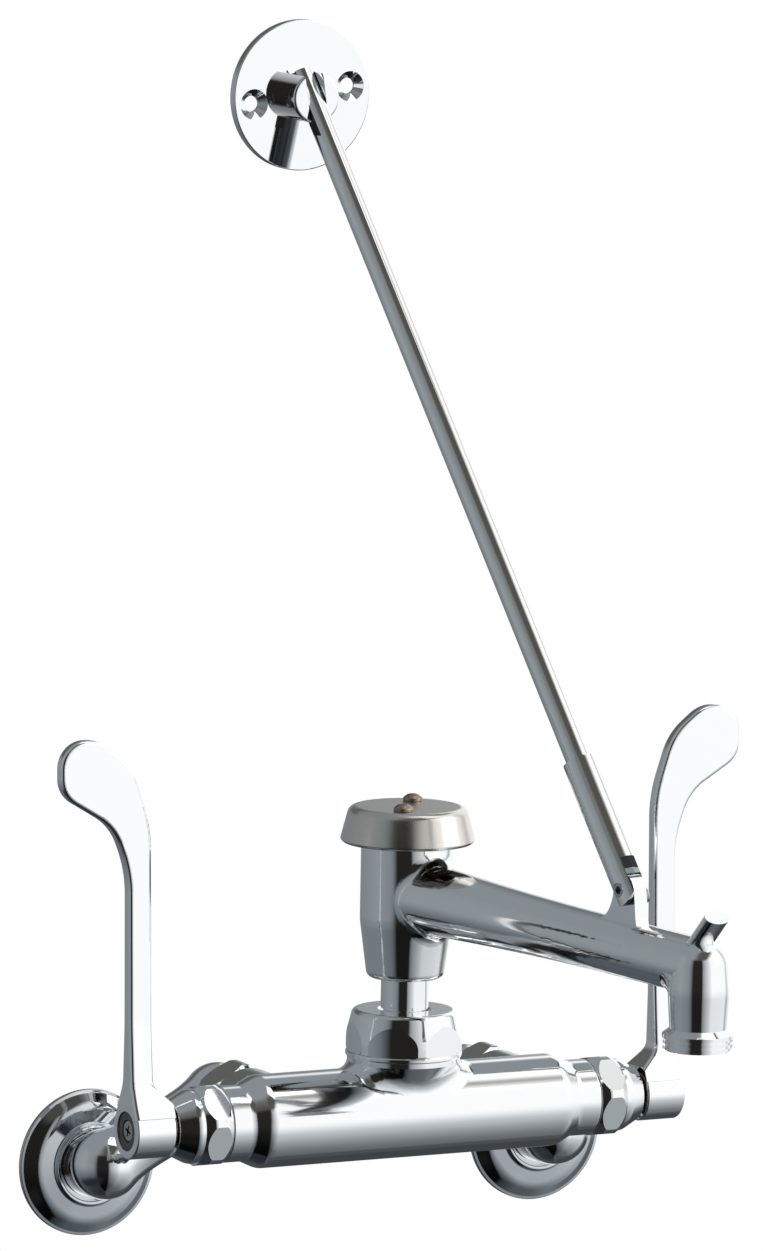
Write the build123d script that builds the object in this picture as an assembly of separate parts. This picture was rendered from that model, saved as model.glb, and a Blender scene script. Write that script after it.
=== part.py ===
from build123d import *
import os
from math import atan2, cos, degrees, hypot, radians, sin, sqrt, tan

# Commercial wall faucet: two wrist-blade handles, a vacuum breaker, a braced spout and a hose outlet.
# Millimetres. X runs to the right along the wall, Y into the wall, Z up.
# The origin lies on the wall's face, midway between the two supply inlets.

os.makedirs("parts", exist_ok=True)

# Clearances
running_gap = 0.05          # radial, a shaft that turns or slides in its hole
seat_gap = 0.05             # radial, a piece that is fixed in its bore
side_gap = 0.30             # each side of a tongue that swings in a slot
face_gap = 0.10             # between the two ceramic discs

# Where the main axes lie
inlet_spacing = 203.2       # between the two supply inlets
wall_to_body = 79.0         # from the wall to the axis of the cross body
body_rise = 27.5            # from the inlets up to the axis of the cross body
union_spacing = 112.0       # between the two inlets at the back of the body
spout_reach = 177.8         # from the stem to the middle of the outlet
spout_swing = 12.0          # degrees to the right, as the spout stands at rest

# Cross body
body_radius = 18.6
body_half = 66.0            # half length of its thick part
shoulder_length = 7.0
neck_radius = 15.3
neck_length = 9.5            # of the neck, up to the seat of the bonnet nut
spigot_radius = 12.4
spigot_length = 7.5
boss_top = 50.2             # height of the seat under the spout nut
boss_radius = 22.6
boss_foot_radius = 10.0
boss_foot_depth = 19.2       # of that foot below the boss's top
boss_lip = 2.0               # height of its upright rim
boss_fillet = 8.0            # where it runs out on the body
socket_neck_radius = 17.0   # threaded neck inside the spout nut
socket_neck_top = 62.3
socket_floor = 37.0
passage_radius = 6.0
channel_radius = 3.6        # passage from both valves to the spout
channel_drop = 12.5

# Valve cartridges, as distances along the body from its middle
seat_depth = 25.5            # of the ceramic seat behind the neck's end
seat_pocket_length = 9.0
seat_seal_length = 2.6
seat_seal_radius = 8.6
seat_hole_radius = 5.0
disc_radius = 8.4
disc_thickness = 3.1
port_radius = 2.3
port_offset = 4.4
cartridge_radius = 10.5
cartridge_wall = 2.0
chamber_length = 12.5
cartridge_flange = 2.0
nose_radius = 8.0
nose_past = 21.8             # of the nose past the neck's end
window_width = 5.6
window_length = 5.0
oring_section = 1.8         # thickness of every O-ring
oring_proud = 0.02          # that it stands out of its shaft
cartridge_oring_depth = 2.5  # behind the neck's end
valve_stem_radius = 4.8
driver_thickness = 2.5

# Bonnet nuts
bonnet_flats = 31.2
bonnet_corner_radius = 17.2
bonnet_hex_length = 11.5
bonnet_length = 21.5
bonnet_nose_radius = 10.9
bonnet_turn = 18.0          # degrees that a flat looks down from straight ahead

# Handles
hub_past = 23.0              # from the neck's end to the hub
hub_length = 17.0
hub_radius = 11.3
hub_recess_radius = 7.9
hub_recess_depth = 3.4
hub_web = 2.0
lever_past = 11.7            # middle of the lever, from the start of the hub
lever_width = 9.8
lever_height = 155.8         # of its tip above the hub's axis
lever_lean = 1.9             # degrees that it leans to the wall
lever_thickness = 5.7
paddle_reach = 34.3         # from the middle of the lever to the paddle's outer end
lever_edge_round = 1.5
index_depth = 2.8
screw_head_radius = 4.3
screw_shank_radius = 1.9

# Inlets, arms and unions, as distances from the wall
flange_radius = 29.7
flange_height = 8.0
flange_neck_radius = 16.3
flange_neck_hole = 14.8
arm_thread_radius = 13.0
arm_thread_root = 12.3
arm_thread_pitch = 1.8
supply_thread_radius = 9.13
supply_thread_depth = 16.0
bend_out = 18.4             # first bend
bend_lift = 2.4             # of the first bend above the inlet
bend_radius_low = 14.3
union_bend_out = 26.0       # second bend
bend_radius_high = 14.2
arm_middle_radius = 11.2
arm_bore = 6.5
tail_radius = 11.3
tail_flange_radius = 13.2
tail_flange_start = 40.0
tail_flange_end = 43.0
washer_thickness = 1.0
washer_hole = 7.0
union_spigot_radius = 13.5
union_seat = 53.0
union_boss_radius = 16.5
union_nut_start = 36.5
union_nut_flats = 31.6
union_nut_corner = 17.7

# Spout nut, ring and stem
slip_ring_radius = 23.3
slip_ring_thickness = 2.0
spout_nut_corner = 23.3
spout_nut_bulge = 1.25       # of each face beyond its chord
spout_nut_top_radius = 19.9
spout_nut_height = 16.6
spout_nut_turn = 21.0
stem_radius = 9.525
stem_bore = 6.8
stem_foot = 38.0
stem_grip = 10.5             # of the stem in the housing
ring_thickness = 1.9
ring_radius = 12.0
ring_groove_radius = 8.6
stem_oring_places = (44.0, 54.0)

# Breaker housing
housing_drop = 33.7          # of its bottom below the arm's axis
housing_foot_radius = 15.3
housing_radius = 18.4
housing_widest_drop = 10.7
housing_rise = 19.6          # of its top above the arm's axis
chamber_radius = 13.5
chamber_drop = 12.2
bonnet_thread_length = 12.8
bonnet_thread_radius = 15.2
breaker_seat_radius = 11.0
breaker_seat_hole = 7.0
breaker_seat_depth = 5.0
breaker_seat_lip = 1.5
air_port_radius = 8.2
gasket_thickness = 0.8
bonnet_flange_radius = 17.8
bonnet_flange_thickness = 2.7
cap_rim_lift = 1.0          # of its rim above the housing
cap_rim_radius = 26.8
cap_depth = 14.5
cap_top_radius = 23.4
cap_wall = 1.5
cap_screw_spacing = 28.0
cap_screw_turn = -47.0      # degrees from the spout's own direction
cap_screw_head = 3.9
cap_screw_head_height = 2.8
cap_screw_shank = 1.75
cap_post_radius = 3.4
poppet_radius = 11.5
poppet_height = 12.0
poppet_lift = 3.5
poppet_washer_radius = 10.5
poppet_washer_thickness = 1.2

# Spout arm and outlet
arm_height = 115.2          # of the arm's axis at the stem
arm_drop = 1.4              # degrees that the arm slopes down
arm_root_radius = 14.4
arm_root_fillet = 6.0
arm_near_radius = 12.9      # at a quarter of its length
arm_far_radius = 11.4       # at a little over half of it
arm_end_radius = 11.2
crook_radius = 15.5         # centre line of the bend that rounds the elbow's inner corner
waterway_radius = 7.6
outlet_drop = 36.6           # of its foot below the arm's axis at the stem
outlet_collar_rise = 4.9     # of the collar above that foot
outlet_collar_height = 1.5
outlet_waist_radius = 11.0   # above the collar
outlet_bulge_radius = 12.0
outlet_bulge_rise = 23.6     # of its widest place above the foot
outlet_collar_radius = 13.9
hose_thread_radius = 13.49
hose_thread_root = 12.5
hose_thread_pitch = 2.209
outlet_bore = 9.4

# Pail hook
hook_foot = (-5.3, -1.2)     # past the outlet, above the arm's axis at the stem
hook_tip = (9.8, 16.4)
hook_width = 11.8
hook_thickness = 6.9

# Brace
pin_reach = 136.0           # brace pin from the stem
pin_rise = 23.7             # of that pin above the arm's axis
lug_thickness = 6.4
lug_radius = 6.1
bracket_height = 427.0
bracket_pivot_out = 11.5    # pivot from the wall
sleeve_radius = 6.35
sleeve_length = 56.0
fork_slot_depth = 11.5
sleeve_bore_floor = 18.0
brace_rod_radius = 4.76
brace_rod_foot = 25.0       # from the lower pin
pivot_pin_radius = 2.8
rod_tongue = 7.4
rod_tongue_length = 17.0
rod_end_past = 11.0
rod_end_clear = 1.5         # from the end of the rod to the plate
plate_radius = 30.15
plate_thickness = 4.0
plate_boss_radius = 10.2
plate_boss_front = 17.0
plate_hole_spacing = 43.2
plate_hole_radius = 3.2
plate_sink_radius = 6.1


# Heights and places that follow
neck_end = body_half + shoulder_length + neck_length
seat_start = neck_end - seat_depth
seat_pocket_start = seat_start - seat_pocket_length
channel_half = seat_start + 8.0
nose_end = neck_end + nose_past
cartridge_oring_place = neck_end - cartridge_oring_depth
bonnet_end = neck_end + bonnet_length
hub_start = neck_end + hub_past
lever_place = hub_start + lever_past
housing_bottom = arm_height - housing_drop
housing_widest = arm_height - housing_widest_drop
housing_top = arm_height + housing_rise
chamber_floor = arm_height - chamber_drop
bonnet_thread_bottom = housing_top - bonnet_thread_length
stem_head = housing_bottom + stem_grip
outlet_foot = arm_height - outlet_drop
outlet_collar_bottom = outlet_foot + outlet_collar_rise
outlet_collar_top = outlet_collar_bottom + outlet_collar_height
cap_rim_height = housing_top + cap_rim_lift
cap_top_height = cap_rim_height + cap_depth
pin_height = arm_height - pin_reach * tan(radians(arm_drop)) + pin_rise
ring_groove_bottom = socket_neck_top + 0.3

# Frames that the pieces are drawn in
body_axis = Pos(0, -wall_to_body, body_rise) * Rot(0, 90, 0)
stem_axis = Pos(0, -wall_to_body, 0)
spout_place = Pos(0, -wall_to_body, 0) * Rot(0, 0, spout_swing)
inlet_x = inlet_spacing / 2
union_x = union_spacing / 2


def out_of_wall(x, z):
    """Frame on the wall's face whose own Z points out of the wall."""
    return Plane(origin=(x, 0, z), x_dir=(1, 0, 0), z_dir=(0, -1, 0)).location


def outline(*corners):
    """Closed outline; a corner is (across, along) or (across, along, rounding)."""
    shape = make_face(Polyline(*[corner[:2] for corner in corners], close=True))
    for corner in corners:
        if len(corner) == 3:
            vertex = shape.vertices().sort_by_distance((corner[0], corner[1], 0))[0]
            shape = fillet(vertex, corner[2])
    return shape


def turned(*corners):
    """Body of revolution about Z; a corner is (radius, height) or (radius, height, rounding)."""
    return revolve(Plane.XZ * outline(*corners), Axis.Z)


def drum(radius, bottom, top):
    """Plain cylinder about Z between two heights."""
    return Pos(0, 0, bottom) * Cylinder(radius, top - bottom, align=(Align.CENTER, Align.CENTER, Align.MIN))


def ring(outer, inner, bottom, top):
    """Plain ring about Z between two heights."""
    return drum(outer, bottom, top) - drum(inner, bottom - 1, top + 1)


def hexagon(flats, bottom, top, turn=0):
    """Hexagonal bar about Z, with its first corner turned from X."""
    section = Rot(0, 0, turn) * RegularPolygon(flats / 2, 6, major_radius=False)
    return Pos(0, 0, bottom) * extrude(section, top - bottom)


def crowned_hexagon(corner, bulge):
    """Hexagonal face about Z whose sides are arcs that stand out by the bulge."""
    spots = [(corner * cos(radians(60 * turn)), corner * sin(radians(60 * turn))) for turn in range(7)]
    middle = corner * cos(radians(30)) + bulge
    crowns = [(middle * cos(radians(60 * turn + 30)), middle * sin(radians(60 * turn + 30))) for turn in range(6)]
    return make_face([ThreePointArc(spots[side], crowns[side], spots[side + 1]) for side in range(6)])


def oring(radius):
    """O-ring about Z that stands just proud of a shaft of this radius."""
    return Torus(radius + oring_proud - oring_section / 2, oring_section / 2)


def oring_groove(radius):
    """Groove about Z for that O-ring."""
    half = oring_section / 2 + 0.15
    return ring(radius + 1, radius - oring_section, -half, half)


def both_sides(name, piece):
    """The right-hand piece and its mirror image at the left."""
    return {name + "_right": piece, name + "_left": mirror(piece, about=Plane.YZ)}


# Cross body
def make_body():
    end = body_half + shoulder_length
    barrel = revolve(
        Plane.XZ * outline(
            (0, -neck_end), (neck_radius, -neck_end, 1), (neck_radius, -end, 5), (body_radius, -body_half, 8),
            (body_radius, body_half, 8), (neck_radius, end, 5), (neck_radius, neck_end, 1), (0, neck_end),
        ),
        Axis.Z,
    )
    barrel = body_axis * barrel
    boss = stem_axis * turned(
        (0, boss_top - boss_foot_depth), (boss_foot_radius, boss_top - boss_foot_depth),
        (boss_radius, boss_top - boss_lip), (boss_radius, boss_top), (0, boss_top),
    )
    blank = barrel + boss
    joint = blank.edges().filter_by(
        lambda edge: edge.geom_type == GeomType.BSPLINE and body_rise < edge.center().Z < boss_top - 1
        and abs(edge.center().X) < boss_radius
    )
    blank = fillet(joint, boss_fillet)
    for side in (-1, 1):
        blank += out_of_wall(side * union_x, body_rise) * drum(union_boss_radius, union_seat, wall_to_body)
    blank += stem_axis * drum(socket_neck_radius, boss_top - 1, socket_neck_top)
    blank += body_axis * drum(spigot_radius, -neck_end - spigot_length, neck_end + spigot_length)
    for side in (-1, 1):
        spigot = drum(union_spigot_radius, tail_flange_end + washer_thickness, union_seat + 1)
        blank += out_of_wall(side * union_x, body_rise) * spigot
        blank -= out_of_wall(side * union_x, body_rise) * drum(washer_hole, 0, wall_to_body)
        cavity = drum(cartridge_radius + seat_gap, seat_start, neck_end + spigot_length + 1)
        cavity += drum(passage_radius, seat_pocket_start, seat_start + 1)
        blank -= body_axis * Rot(0, 90 - 90 * side, 0) * cavity
    blank -= Pos(0, 0, -channel_drop) * body_axis * drum(channel_radius, -channel_half, channel_half)
    blank -= stem_axis * drum(stem_radius + running_gap, socket_floor, socket_neck_top + 1)
    blank -= stem_axis * drum(passage_radius, body_rise - channel_drop, socket_floor + 1)
    return blank


# Wall flange: a domed shell with a raised neck ring
def make_wall_flange():
    shell = turned(
        (flange_radius, 0), (flange_radius, 1.6, 0.5), (flange_radius - 1.3, 2.0, 0.8), (23.8, 5.2, 9),
        (flange_neck_radius + 0.5, 6.4, 1), (flange_neck_radius, flange_height, 0.6),
        (flange_neck_hole, flange_height, 0.5), (flange_neck_hole, 5.6),
        (arm_thread_radius + seat_gap, 5.6), (arm_thread_radius + seat_gap, 4.8), (16.6, 4.8, 1),
        (23.0, 4.0, 8), (flange_radius - 1.9, 0.9), (flange_radius - 1.9, 0),
    )
    return out_of_wall(inlet_x, 0) * shell


# Inlet arm: threaded shank, two swollen bends and a flanged tail
def make_inlet_arm():
    low = Vector(inlet_x, -bend_out, bend_lift)
    high = Vector(union_x, -union_bend_out, body_rise)
    span = (high - low).length
    step = 0.35 * bend_radius_low
    low_side = sqrt(bend_radius_low**2 - step**2)
    high_side = sqrt(bend_radius_high**2 - step**2)
    edges = [
        ThreePointArc((0, -bend_radius_low), (bend_radius_low, 0), (low_side, step)),
        Spline(
            (low_side, step), (arm_middle_radius, span / 2), (high_side, span - step),
            tangents=[(-step, low_side), (step, high_side)],
        ),
        ThreePointArc((high_side, span - step), (bend_radius_high, span), (0, span + bend_radius_high)),
        Line((0, span + bend_radius_high), (0, -bend_radius_low)),
    ]
    along = Plane(origin=low, z_dir=high - low).location
    arm = along * revolve(Plane.XZ * make_face(edges), Axis.Z)
    at_wall = out_of_wall(inlet_x, 0)
    at_union = out_of_wall(union_x, body_rise)
    arm += at_wall * drum(arm_thread_root, 0.5, bend_out)
    for turn in range(4):
        foot = 1.0 + turn * arm_thread_pitch
        arm += at_wall * drum(arm_thread_radius, foot, foot + arm_thread_pitch / 2)
    arm += at_union * drum(tail_radius, union_bend_out, tail_flange_end)
    arm += at_union * drum(tail_flange_radius, tail_flange_start, tail_flange_end)
    arm -= at_wall * drum(supply_thread_radius, 0, supply_thread_depth + 0.5)
    arm -= at_wall * drum(arm_bore, 0, bend_out)
    arm -= at_union * drum(arm_bore, union_bend_out, tail_flange_end + 1)
    arm -= along * drum(arm_bore, 0, span)
    arm -= Pos(*low) * Sphere(arm_bore)
    arm -= Pos(*high) * Sphere(arm_bore)
    return arm


def make_union_nut():
    end = union_seat - 0.2
    nut = hexagon(union_nut_flats, union_nut_start, end, 30) & turned(
        (0, union_nut_start), (union_nut_corner - 2.6, union_nut_start, 0.6), (union_nut_corner, union_nut_start + 3, 2.5),
        (union_nut_corner, end - 3, 2.5), (union_nut_corner - 2.6, end, 0.6), (0, end),
    )
    nut -= drum(tail_radius + 0.3, union_nut_start - 1, end)
    nut -= drum(union_spigot_radius + seat_gap, tail_flange_start, end + 1)
    return out_of_wall(union_x, body_rise) * nut


def make_union_washer():
    washer = ring(tail_flange_radius - 0.4, washer_hole, tail_flange_end, tail_flange_end + washer_thickness)
    return out_of_wall(union_x, body_rise) * washer


# Valve cartridge, drawn along the body's axis
disc_start = seat_start + seat_seal_length
turning_start = disc_start + disc_thickness + face_gap
driver_start = turning_start + disc_thickness
flange_start = neck_end + spigot_length


def make_cartridge_body():
    shell = drum(cartridge_radius, disc_start, flange_start)
    shell += drum(spigot_radius, flange_start, flange_start + cartridge_flange)
    shell += drum(nose_radius, flange_start, nose_end)
    shell -= drum(disc_radius + seat_gap, disc_start - 1, disc_start + chamber_length)
    shell -= drum(valve_stem_radius + running_gap, disc_start, nose_end + 1)
    window = Pos(0, 0, driver_start + window_length / 2)
    shell -= window * Box(3 * cartridge_radius, window_width, window_length)
    shell -= Pos(0, 0, cartridge_oring_place) * oring_groove(cartridge_radius)
    return body_axis * shell


def make_cartridge_oring():
    return body_axis * Pos(0, 0, cartridge_oring_place) * oring(cartridge_radius)


def make_seat_seal():
    return body_axis * ring(seat_seal_radius, seat_hole_radius, seat_start, seat_start + seat_seal_length)


def ported_disc(start, radius, turn):
    """Ceramic disc with two ports, turned about the stem."""
    disc = drum(radius, start, start + disc_thickness)
    for side in (-1, 1):
        disc -= Rot(0, 0, turn) * Pos(side * port_offset, 0, 0) * drum(port_radius, start - 1, start + disc_thickness + 1)
    return body_axis * disc


def make_cartridge_stem():
    stem = drum(disc_radius - face_gap, driver_start, driver_start + driver_thickness)
    stem += drum(valve_stem_radius, driver_start, hub_start + hub_length - hub_recess_depth - hub_web)
    stem -= drum(screw_shank_radius + seat_gap, hub_start + 2, hub_start + hub_length)
    return body_axis * stem


def make_bonnet_nut():
    hex_end = neck_end + bonnet_hex_length
    edge = bonnet_flats / 2 - 0.4
    nut = hexagon(bonnet_flats, neck_end, hex_end, bonnet_turn) & turned(
        (0, neck_end), (edge, neck_end, 0.5), (bonnet_corner_radius, neck_end + 3.2, 3),
        (bonnet_corner_radius, hex_end - 3.2, 3), (edge, hex_end), (0, hex_end),
    )
    nut += turned(
        (0, hex_end - 2), (edge - 0.5, hex_end - 2), (edge - 0.5, hex_end + 2.5, 5),
        (bonnet_nose_radius, bonnet_end, 0.6), (0, bonnet_end),
    )
    nut -= drum(spigot_radius + seat_gap, neck_end - 1, flange_start + cartridge_flange + 0.05)
    nut -= drum(nose_radius + seat_gap, neck_end, bonnet_end + 1)
    return body_axis * nut


# Handle: hub and forged lever, drawn upright about the hub's axis
def make_handle():
    half = lever_width / 2
    low = hub_radius / 2
    hub_end = hub_start + hub_length
    hub_inner = hub_start - lever_place
    hub_outer = hub_end - lever_place
    blade = [
        (half, 0.66, 50), (0.34 * paddle_reach, 0.777, 22), (paddle_reach, 0.864, 11), (paddle_reach, 1, 11),
        (0.51 * paddle_reach, 1, 15), (0.1 * paddle_reach, 0.93, 26), (-half, 0.772, 55),
    ]
    front = outline(
        (hub_outer, low), (hub_outer, 0.93 * hub_radius), (half, 1.86 * hub_radius, 30),
        *[(across_it, up * lever_height, rounding) for across_it, up, rounding in blade],
        (-half, 1.55 * hub_radius, 7), (hub_inner, 0.98 * hub_radius), (hub_inner, low),
    )
    right_side = [
        (0.9 * hub_radius, low), (0.4 * hub_radius, 1.64 * hub_radius, 14),
        (lever_thickness / 2 + 0.35, 0.27 * lever_height, 100), (lever_thickness / 2, 1.03 * lever_height),
    ]
    left_side = [(-corner[0], *corner[1:]) for corner in right_side]
    side = outline(*right_side, *left_side[::-1])
    reach = 2 * hub_radius
    lever = extrude(Plane.XZ.offset(-reach) * front, 2 * reach)
    lever &= extrude(Plane.YZ.offset(-2 * reach) * side, 4 * reach)
    long_edges = lever.edges().filter_by(lambda edge: edge.center().Z > 24 and abs(edge.center().Y) > 1)
    lever = Pos(lever_place, 0, 0) * fillet(long_edges, lever_edge_round)
    hub = turned((0, hub_start), (hub_radius, hub_start, 0.8), (hub_radius, hub_end, 0.8), (0, hub_end))
    handle = Rot(0, 90, 0) * hub + lever
    handle = Pos(0, -wall_to_body, body_rise) * Rot(-lever_lean, 0, 0) * handle
    bore = drum(valve_stem_radius + seat_gap, hub_start - 1, hub_end - hub_recess_depth - hub_web)
    bore += drum(hub_recess_radius, hub_end - hub_recess_depth, hub_end + 1)
    bore += drum(screw_shank_radius + 0.2, hub_start, hub_end)
    return handle - body_axis * bore


recess_floor = hub_start + hub_length - hub_recess_depth


def make_index_ring():
    return body_axis * ring(
        hub_recess_radius - seat_gap, screw_head_radius + 0.2, recess_floor, recess_floor + index_depth
    )


def make_handle_screw():
    top = recess_floor + index_depth - 0.3
    screw = turned((0, recess_floor), (screw_head_radius, recess_floor), (screw_head_radius, top, 0.6), (0, top))
    screw += drum(screw_shank_radius, hub_start + 4, recess_floor + 0.5)
    for turn in (0, 90):
        screw -= Pos(0, 0, top) * Rot(0, 0, turn + 20) * Box(4.8, 1.1, 2.6)
    return body_axis * screw


# Spout nut, ring and stem
nut_bottom = boss_top + slip_ring_thickness
nut_top = nut_bottom + spout_nut_height


def make_slip_ring():
    band = turned(
        (socket_neck_radius + 0.1, boss_top), (slip_ring_radius, boss_top, 0.6),
        (slip_ring_radius, nut_bottom, 0.6), (socket_neck_radius + 0.1, nut_bottom),
    )
    return stem_axis * band


def make_spout_nut():
    section = crowned_hexagon(spout_nut_corner + 0.5, spout_nut_bulge)
    block = Pos(0, 0, nut_bottom) * Rot(0, 0, spout_nut_turn) * extrude(section, spout_nut_height)
    block = fillet(block.edges().filter_by(Axis.Z), 1.6)
    nut = block & turned(
        (0, nut_bottom), (spout_nut_corner, nut_bottom, 0.8), (spout_nut_corner, nut_bottom + 6, 22),
        (spout_nut_top_radius + 0.8, nut_top, 2.2), (0, nut_top),
    )
    nut -= drum(socket_neck_radius + seat_gap, nut_bottom - 1, socket_neck_top + 0.4)
    nut -= drum(ring_radius + 0.6, nut_bottom, ring_groove_bottom + ring_thickness + 0.4)
    nut -= drum(stem_radius + running_gap, nut_bottom, nut_top + 1)
    nut -= turned((0, nut_top - 1.4), (stem_radius + 0.1, nut_top - 1.4), (stem_radius + 1.2, nut_top), (0, nut_top))
    return stem_axis * nut


def make_stem():
    stem = ring(stem_radius, stem_bore, stem_foot, stem_head)
    for height in stem_oring_places:
        stem -= Pos(0, 0, height) * oring_groove(stem_radius)
    stem -= ring(stem_radius + 1, ring_groove_radius, ring_groove_bottom, ring_groove_bottom + ring_thickness)
    return spout_place * stem


def make_stem_orings():
    seals = [Pos(0, 0, height) * oring(stem_radius) for height in stem_oring_places]
    return spout_place * Compound(children=seals)


def make_retaining_ring():
    low = ring_groove_bottom + 0.05
    high = ring_groove_bottom + ring_thickness - 0.05
    clip = ring(ring_radius, ring_groove_radius + seat_gap, low, high)
    clip -= Pos(0, ring_radius, low) * Box(3, 2 * (ring_radius - ring_groove_radius) + 4, 3 * ring_thickness)
    return spout_place * clip


# Spout casting, drawn with its arm along -Y from the stem
def arm_frame():
    drop = radians(arm_drop)
    return Plane(origin=(0, 0, arm_height), x_dir=(1, 0, 0), z_dir=(0, -cos(drop), -sin(drop))).location


def make_crook():
    """Bend inside the elbow that rounds its inner corner."""
    drop = radians(arm_drop)
    height = arm_height - (spout_reach - crook_radius) * tan(drop)
    bend_start = (0, -(spout_reach - crook_radius * (1 - sin(drop))), height)
    first = Line((0, bend_start[1] + 6 * cos(drop), height + 6 * sin(drop)), bend_start)
    bend = TangentArc(first @ 1, (0, -spout_reach, height - crook_radius), tangent=first % 1)
    last = Line(bend @ 1, (0, -spout_reach, outlet_collar_top))
    section = Plane(origin=first @ 0, z_dir=first % 0) * Circle(arm_end_radius - 0.25)
    return sweep(section, Wire([first, bend, last]))


def make_lug():
    foot = arm_height - pin_reach * tan(radians(arm_drop))
    shape = make_face(
        [
            Line((pin_reach - 13, foot), (pin_reach + 10, foot)),
            Line((pin_reach + 10, foot), (pin_reach + lug_radius + 1.2, foot + arm_end_radius + 2)),
            Line((pin_reach + lug_radius + 1.2, foot + arm_end_radius + 2), (pin_reach + lug_radius, pin_height)),
            ThreePointArc((pin_reach + lug_radius, pin_height), (pin_reach, pin_height + lug_radius),
                          (pin_reach - lug_radius, pin_height)),
            Spline((pin_reach - lug_radius, pin_height), (pin_reach - lug_radius - 1.6, pin_height - 7),
                   (pin_reach - 14, foot + arm_end_radius - 0.4), tangents=[(0, -1), (-1, -0.3)]),
            Line((pin_reach - 14, foot + arm_end_radius - 0.4), (pin_reach - 13, foot)),
        ]
    )
    plate = Plane(origin=(0, 0, 0), x_dir=(0, -1, 0), z_dir=(-1, 0, 0)).location
    return plate * extrude(shape, lug_thickness / 2, both=True)


def make_hook():
    rise = hook_tip[1] - hook_foot[1]
    run = hook_tip[0] - hook_foot[0]
    foot = (0, -spout_reach - hook_foot[0], arm_height + hook_foot[1])
    place = Plane(origin=foot, x_dir=(1, 0, 0), z_dir=(0, -run, rise)).location
    return place * extrude(Ellipse(hook_width / 2, hook_thickness / 2), hypot(run, rise))


def make_spout_body():
    housing = turned(
        (0, housing_bottom), (housing_foot_radius, housing_bottom, 3.0), (housing_radius, housing_widest, 25),
        (housing_radius, housing_top), (0, housing_top),
    )
    drop = radians(arm_drop)
    elbow = Pos(0, -spout_reach, arm_height - spout_reach * tan(drop))
    elbow_height = elbow.position.Z
    joint_out = spout_reach / cos(drop)
    sides = [
        Line((0, 4), (arm_root_radius, 4)),
        Spline(
            (arm_root_radius, 4), (arm_near_radius, 0.24 * joint_out), (arm_far_radius, 0.53 * joint_out),
            (arm_end_radius, joint_out), tangents=[(-0.03, 1), (0, 1)],
        ),
        Line((arm_end_radius, joint_out), (0, joint_out)),
        Line((0, joint_out), (0, 4)),
    ]
    arm = arm_frame() * revolve(Plane.XZ * make_face(sides), Axis.Z)
    casting = housing + arm
    root = casting.edges().filter_by(
        lambda edge: 5 < -edge.center().Y < housing_radius + 2
        and abs(edge.center().Z - arm_height) < arm_root_radius + 2
    )
    casting = fillet(root, arm_root_fillet)
    outlet = Pos(0, -spout_reach, 0)
    casting += outlet * turned(
        (0, outlet_collar_top), (outlet_waist_radius, outlet_collar_top),
        (outlet_bulge_radius, outlet_foot + outlet_bulge_rise, 30), (arm_end_radius, elbow_height), (0, elbow_height),
    )
    casting += elbow * Sphere(arm_end_radius)
    casting += make_crook()
    casting += make_lug()
    casting += make_hook()
    casting += outlet * drum(hose_thread_root, outlet_foot, outlet_collar_top)
    casting += outlet * turned(
        (0, outlet_collar_bottom), (outlet_collar_radius, outlet_collar_bottom), (outlet_collar_radius, outlet_collar_top),
        (outlet_waist_radius, outlet_collar_top + 2.2), (0, outlet_collar_top + 2.2),
    )
    for turn in range(2):
        foot = outlet_foot + 0.7 + turn * hose_thread_pitch
        casting += outlet * drum(hose_thread_radius, foot, foot + hose_thread_pitch / 2)
    casting -= arm_frame() * drum(waterway_radius, 8, joint_out)
    casting -= elbow * Sphere(waterway_radius)
    casting -= outlet * drum(waterway_radius, outlet_foot - 1, elbow_height)
    casting -= outlet * drum(outlet_bore, outlet_foot - 1, outlet_collar_top - 1)
    casting -= drum(stem_radius + seat_gap, housing_bottom - 1, stem_head)
    casting -= drum(stem_bore, housing_bottom, chamber_floor)
    casting -= drum(breaker_seat_radius + seat_gap, chamber_floor - breaker_seat_depth, chamber_floor + 1)
    casting -= drum(chamber_radius, chamber_floor, housing_top)
    casting -= drum(bonnet_thread_radius + seat_gap, bonnet_thread_bottom, housing_top + 1)
    pin_hole = Pos(0, -pin_reach, pin_height) * Rot(0, 90, 0) * Cylinder(pivot_pin_radius + running_gap, 20)
    return spout_place * (casting - pin_hole)


# Vacuum breaker
def make_breaker_seat():
    bottom = chamber_floor - breaker_seat_depth
    seat = ring(breaker_seat_radius, breaker_seat_hole, bottom, chamber_floor)
    seat += ring(breaker_seat_hole + 1.4, breaker_seat_hole, chamber_floor, chamber_floor + breaker_seat_lip)
    return spout_place * seat


def make_poppet():
    bottom = chamber_floor + breaker_seat_lip + side_gap
    poppet = drum(poppet_radius, bottom, bottom + poppet_height)
    poppet -= drum(poppet_radius - 2, bottom + 3, bottom + poppet_height)
    poppet += ring(poppet_radius - 1, poppet_radius - 3, bottom + 3, bottom + poppet_height)
    for turn in (0, 60, 120):
        poppet += Rot(0, 0, turn) * Pos(0, 0, bottom - 3) * Box(2 * breaker_seat_hole - 0.6, 1.2, 6.2)
    return spout_place * poppet


def make_poppet_washer():
    bottom = chamber_floor + breaker_seat_lip + side_gap + poppet_height
    return spout_place * drum(poppet_washer_radius, bottom, bottom + poppet_washer_thickness)


flange_foot = housing_top + gasket_thickness
flange_head = flange_foot + bonnet_flange_thickness
post_top = cap_top_height - cap_wall


def cap_screw_spots():
    """The two screws, each side of the stem on a slanting line."""
    for side in (-1, 1):
        yield Rot(0, 0, cap_screw_turn) * Pos(0, side * cap_screw_spacing / 2, 0)


def make_bonnet_gasket():
    return spout_place * ring(bonnet_flange_radius, bonnet_thread_radius + 0.1, housing_top, flange_foot)


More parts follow.
